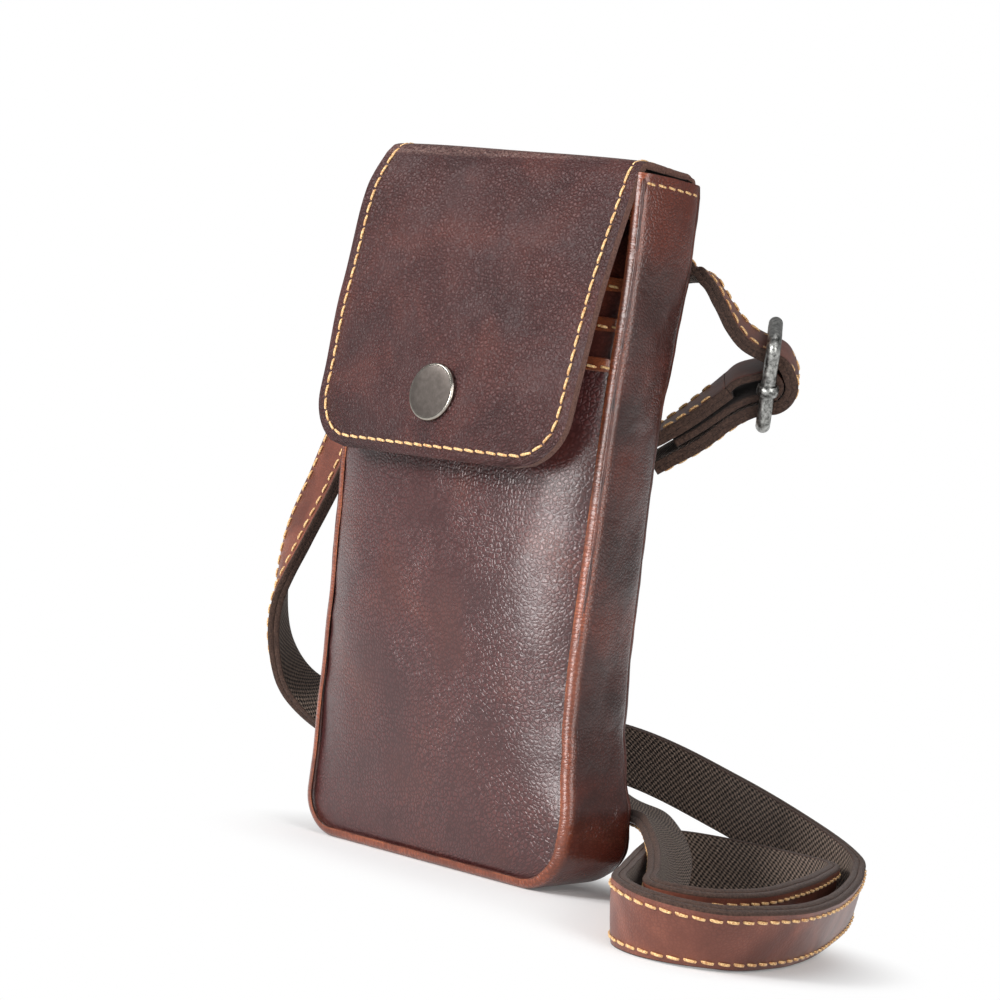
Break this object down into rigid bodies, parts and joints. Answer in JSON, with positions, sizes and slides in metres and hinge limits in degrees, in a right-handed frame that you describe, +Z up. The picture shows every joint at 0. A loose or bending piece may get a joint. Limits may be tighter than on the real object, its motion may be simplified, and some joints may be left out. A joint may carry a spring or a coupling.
{
  "type": "phone pouch",
  "caption": "Upright leather phone pouch with a snap flap over card slots, a swollen front, side gussets and a long leather and webbing strap coiled beside it through a wire slider",
  "frame": {"origin": "middle of the pouch's bottom, on the surface it stands on, halfway between its two seams", "axes": "+Z up the pouch, +X to the right seen from the front, the front and its flap face -Y"},
  "size_m": [0.2313, 0.1185, 0.1896],
  "materials": {
    "front_panel": "soft grained dark brown leather, satin",
    "card_slot_low": "grained leather with a burnished rust edge",
    "card_slot_high": "grained leather with a burnished rust edge",
    "inner_front_wall": "grained leather",
    "back_panel": "grained dark brown leather, satin",
    "gusset": "smoother leather band, soft shine",
    "front_seam_bead": "turned leather bead, rust brown",
    "back_seam_bead": "turned leather bead, rust brown",
    "front_lining": "plain woven lining",
    "back_lining": "plain woven lining",
    "gusset_lining": "plain woven lining",
    "flap_top_strip": "grained dark brown leather",
    "flap_top_lining": "suede side of thin leather",
    "flap_front": "grained dark brown leather, raw edge",
    "flap_lining": "suede side of thin leather",
    "snap_cap": "domed pewter cap with a rolled rim",
    "snap_socket": "pressed metal",
    "snap_stud": "pressed metal",
    "snap_washer": "pressed metal",
    "strap_anchor_patch": "grained leather patch",
    "anchor_rivets": "domed rivet heads",
    "strap_left_loop": "smooth strap leather, raw edges",
    "strap_rear_run": "smooth strap leather, raw edges",
    "strap_outer_loop": "smooth strap leather, raw edges",
    "strap_inner_loop": "smooth strap leather, raw edges",
    "strap_riser": "smooth strap leather, raw edges",
    "strap_short_upper": "smooth strap leather, raw edges",
    "strap_fold": "smooth strap leather, raw edges",
    "strap_tail": "smooth strap leather, raw edges",
    "slider_wrap": "smooth strap leather, raw edges",
    "strap_webbing_long": "dark brown woven tape",
    "strap_webbing_short": "dark brown woven tape",
    "slider_frame": "antique nickel wire",
    "slider_bar": "antique nickel wire"
  },
  "bodies": {
    "pouch": {"front_panel": "front_panel", "card_slot_low": "card_slot_low", "card_slot_high": "card_slot_high", "inner_front_wall": "inner_front_wall", "back_panel": "back_panel", "gusset": "gusset", "front_seam_bead": "front_seam_bead", "back_seam_bead": "back_seam_bead", "front_lining": "front_lining", "back_lining": "back_lining", "gusset_lining": "gusset_lining", "snap_stud": "snap_stud", "snap_washer": "snap_washer", "strap_anchor_patch": "strap_anchor_patch", "anchor_rivets": "anchor_rivets", "strap_left_loop": "strap_left_loop", "strap_rear_run": "strap_rear_run", "strap_outer_loop": "strap_outer_loop", "strap_inner_loop": "strap_inner_loop", "strap_riser": "strap_riser", "strap_short_upper": "strap_short_upper", "strap_fold": "strap_fold", "strap_tail": "strap_tail", "slider_wrap": "slider_wrap", "strap_webbing_long": "strap_webbing_long", "strap_webbing_short": "strap_webbing_short"},
    "flap_top": {"flap_top_strip": "flap_top_strip", "flap_top_lining": "flap_top_lining"},
    "flap": {"flap_front": "flap_front", "flap_lining": "flap_lining", "snap_cap": "snap_cap", "snap_socket": "snap_socket"},
    "slider": {"slider_frame": "slider_frame", "slider_bar": "slider_bar"}
  },
  "joints": [
    {"name": "flap_top_fold", "type": "hinge", "parent": "pouch", "child": "flap_top", "pos_m": [0, 0.00785, 0.1886], "axis": [-1, 0, 0], "range_deg": [0, 95]},
    {"name": "flap_fold", "type": "hinge", "parent": "flap_top", "child": "flap", "pos_m": [0, -0.0075, 0.1886], "axis": [-1, 0, 0], "range_deg": [0, 95]},
    {"name": "slider_rock", "type": "hinge", "parent": "pouch", "child": "slider", "pos_m": [0.05712, 0.03843, 0.13959], "axis": [0.5785, -0.7405, -0.342], "range_deg": [-4, 4]}
  ]
}
